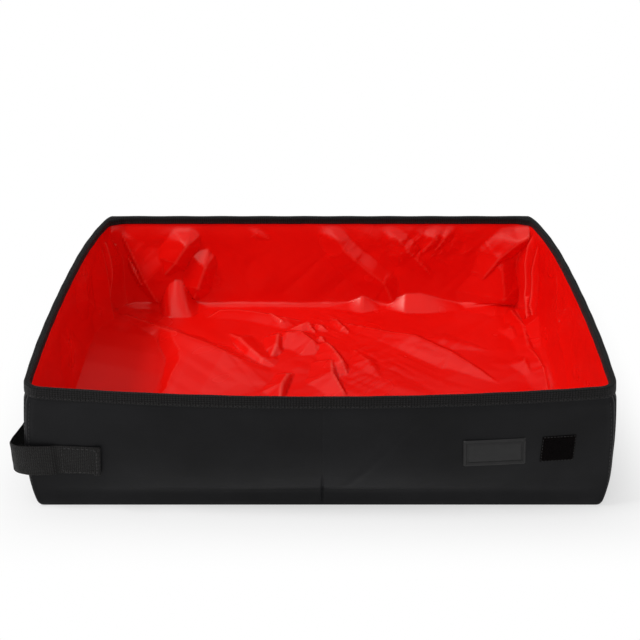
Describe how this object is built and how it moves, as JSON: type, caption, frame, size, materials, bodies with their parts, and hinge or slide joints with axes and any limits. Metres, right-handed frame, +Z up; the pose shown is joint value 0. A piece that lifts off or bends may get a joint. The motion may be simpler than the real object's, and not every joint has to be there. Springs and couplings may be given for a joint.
{
  "type": "foldable litter box",
  "caption": "Open rectangular cloth tray with a wipeable lining, taped rim and webbing strap; the walls fold in and the base folds in half.",
  "frame": {"origin": "middle of the underside, on the plane the tray stands on", "axes": "+X to the right seen from the front, along the long side; -Y towards the front wall with the badge; +Z up out of the tray"},
  "size_m": [0.4224, 0.3157, 0.096],
  "materials": {
    "coated_cloth": "matt coated weave",
    "film_lining": "glossy crumpled film on cloth",
    "stiffener_board": "matt board",
    "rim_tape": "coarse woven tape",
    "webbing": "ribbed webbing",
    "loop_pile": "loop pile",
    "hook_tape": "hook tape",
    "badge_rubber": "satin moulded"
  },
  "bodies": {
    "base_left": {"shell_base_left": "coated_cloth", "lining_base_left": "film_lining", "board_base_left": "stiffener_board", "shell_corner_front_left": "coated_cloth", "lining_corner_front_left": "film_lining", "tape_corner_front_left": "rim_tape", "shell_corner_back_left": "coated_cloth", "lining_corner_back_left": "film_lining", "tape_corner_back_left": "rim_tape"},
    "end_left": {"shell_end_left": "coated_cloth", "lining_end_left": "film_lining", "board_end_left": "stiffener_board", "tape_end_left": "rim_tape", "loop_pad_end_left": "loop_pile"},
    "front_left": {"shell_front_left": "coated_cloth", "lining_front_left": "film_lining", "board_front_left": "stiffener_board", "tape_front_left": "rim_tape", "strap_sewn_end": "webbing"},
    "back_left": {"shell_back_left": "coated_cloth", "lining_back_left": "film_lining", "board_back_left": "stiffener_board", "tape_back_left": "rim_tape"},
    "base_right": {"shell_base_right": "coated_cloth", "lining_base_right": "film_lining", "board_base_right": "stiffener_board", "shell_corner_front_right": "coated_cloth", "lining_corner_front_right": "film_lining", "tape_corner_front_right": "rim_tape", "shell_corner_back_right": "coated_cloth", "lining_corner_back_right": "film_lining", "tape_corner_back_right": "rim_tape"},
    "end_right": {"shell_end_right": "coated_cloth", "lining_end_right": "film_lining", "board_end_right": "stiffener_board", "tape_end_right": "rim_tape"},
    "front_right": {"shell_front_right": "coated_cloth", "lining_front_right": "film_lining", "board_front_right": "stiffener_board", "tape_front_right": "rim_tape", "badge": "badge_rubber", "loop_pad_front_right": "loop_pile"},
    "back_right": {"shell_back_right": "coated_cloth", "lining_back_right": "film_lining", "board_back_right": "stiffener_board", "tape_back_right": "rim_tape"},
    "strap": {"strap_loop": "webbing", "strap_hook_pad": "hook_tape"}
  },
  "joints": [
    {"name": "centre_fold", "type": "hinge", "parent": "base_left", "child": "base_right", "pos_m": [0.0015, 0, -0.0003], "axis": [0, 1, 0], "range_deg": [0, 180]},
    {"name": "end_left_fold", "type": "hinge", "parent": "base_left", "child": "end_left", "pos_m": [-0.1939, 0, 0.0049], "axis": [0, 1, 0], "range_deg": [0, 90], "deforming": ["shell_corner_front_left", "lining_corner_front_left", "tape_corner_front_left", "shell_corner_back_left", "lining_corner_back_left", "tape_corner_back_left"]},
    {"name": "front_left_fold", "type": "hinge", "parent": "base_left", "child": "front_left", "pos_m": [-0.095, -0.1459, 0.0125], "axis": [-1, 0, 0], "range_deg": [0, 82]},
    {"name": "back_left_fold", "type": "hinge", "parent": "base_left", "child": "back_left", "pos_m": [-0.095, 0.1459, 0.0125], "axis": [1, 0, 0], "range_deg": [0, 82]},
    {"name": "end_right_fold", "type": "hinge", "parent": "base_right", "child": "end_right", "pos_m": [0.1939, 0, 0.0049], "axis": [0, -1, 0], "range_deg": [0, 90], "deforming": ["shell_corner_front_right", "lining_corner_front_right", "tape_corner_front_right", "shell_corner_back_right", "lining_corner_back_right", "tape_corner_back_right"]},
    {"name": "front_right_fold", "type": "hinge", "parent": "base_right", "child": "front_right", "pos_m": [0.095, -0.1459, 0.0125], "axis": [-1, 0, 0], "range_deg": [0, 82]},
    {"name": "back_right_fold", "type": "hinge", "parent": "base_right", "child": "back_right", "pos_m": [0.095, 0.1459, 0.0125], "axis": [1, 0, 0], "range_deg": [0, 82]},
    {"name": "strap_swing", "type": "hinge", "parent": "front_left", "child": "strap", "pos_m": [-0.17875, -0.15545, 0.0375], "axis": [0, 0, 1], "range_deg": [0, 110]}
  ],
  "couplings": [
    {"joint": "end_left_fold", "follows": "centre_fold", "ratio": 0.5},
    {"joint": "front_left_fold", "follows": "centre_fold", "ratio": 0.45555},
    {"joint": "back_left_fold", "follows": "centre_fold", "ratio": 0.45555},
    {"joint": "end_right_fold", "follows": "centre_fold", "ratio": 0.5},
    {"joint": "front_right_fold", "follows": "centre_fold", "ratio": 0.45555},
    {"joint": "back_right_fold", "follows": "centre_fold", "ratio": 0.45555}
  ]
}
